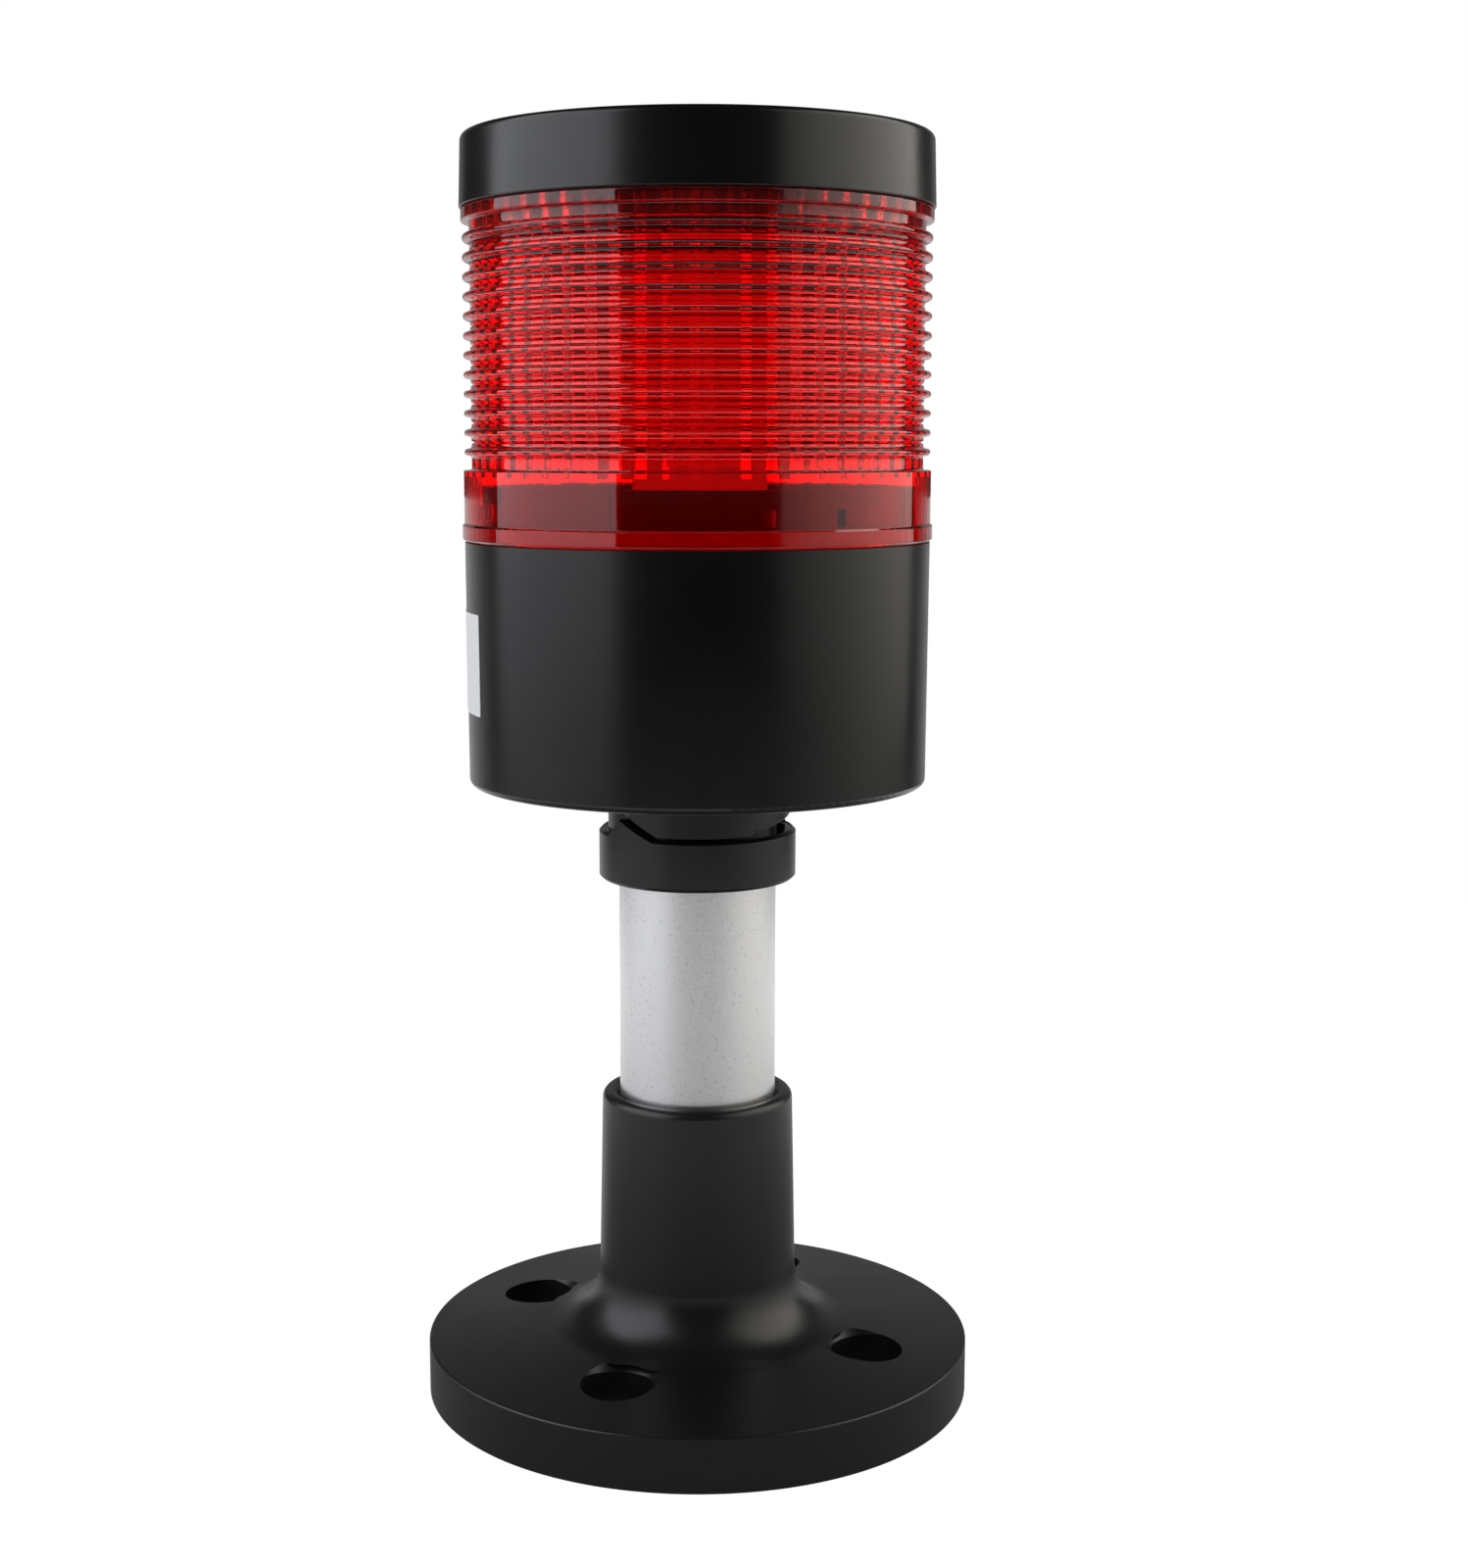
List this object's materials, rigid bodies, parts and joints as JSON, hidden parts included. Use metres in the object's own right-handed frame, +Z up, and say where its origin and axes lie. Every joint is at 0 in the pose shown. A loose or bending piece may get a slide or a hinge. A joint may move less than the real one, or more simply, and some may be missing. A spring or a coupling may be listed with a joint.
{
  "type": "stack light",
  "caption": "Single-tier signal light: ribbed red lens between a black cap and housing, on a short aluminium pole with a round bolt-down foot.",
  "frame": {"origin": "centre of the foot's underside", "axes": "+Z up along the pole; the front is -Y, and the four bolt holes lie at 45 degrees to X and Y"},
  "size_m": [0.084, 0.084, 0.1907],
  "materials": {
    "foot_moulding": "satin moulded black plastic",
    "housing_moulding": "satin moulded black plastic",
    "pole_aluminium": "fine blasted, clear anodised",
    "lens_red": "clear red moulded polycarbonate",
    "red_silicone": "soft silicone",
    "black_rubber": "moulded rubber",
    "screw_steel": "zinc plated steel",
    "pin_brass": "turned brass",
    "board_laminate": "circuit board laminate with solder mask",
    "board_white": "white solder mask",
    "column_white": "white moulded plastic",
    "led_package": "LED packages under clear resin",
    "can_aluminium": "drawn can",
    "ferrite_black": "shielded ferrite",
    "terminal_grey": "grey moulded plastic"
  },
  "bodies": {
    "stand": {"base_flange": "foot_moulding", "pole_tube": "pole_aluminium", "pole_collar": "housing_moulding", "grub_screws": "screw_steel", "lamp_body": "housing_moulding", "socket_screws": "screw_steel", "cable_grommet": "black_rubber", "lens_seal": "red_silicone", "carrier_plate": "housing_moulding", "carrier_screws": "screw_steel", "driver_board": "board_laminate", "board_screws": "screw_steel", "board_capacitor": "can_aluminium", "board_choke": "ferrite_black", "contact_pins": "pin_brass", "terminal_block": "terminal_grey", "wire_cages": "pin_brass", "terminal_screws": "screw_steel", "light_column": "column_white", "column_screws": "screw_steel", "leds": "led_package", "led_board_1": "board_white", "led_board_2": "board_white", "led_board_3": "board_white", "led_board_4": "board_white"},
    "lens": {"lens": "lens_red"},
    "cap": {"cap": "housing_moulding", "cap_seal": "black_rubber"}
  },
  "joints": [
    {"name": "lens_twist", "type": "hinge", "parent": "stand", "child": "lens", "pos_m": [0, 0, 0.136], "axis": [0, 0, 1], "range_deg": [0, 35]},
    {"name": "cap_twist", "type": "hinge", "parent": "lens", "child": "cap", "pos_m": [0, 0, 0.177], "axis": [0, 0, 1], "range_deg": [0, 25]}
  ]
}
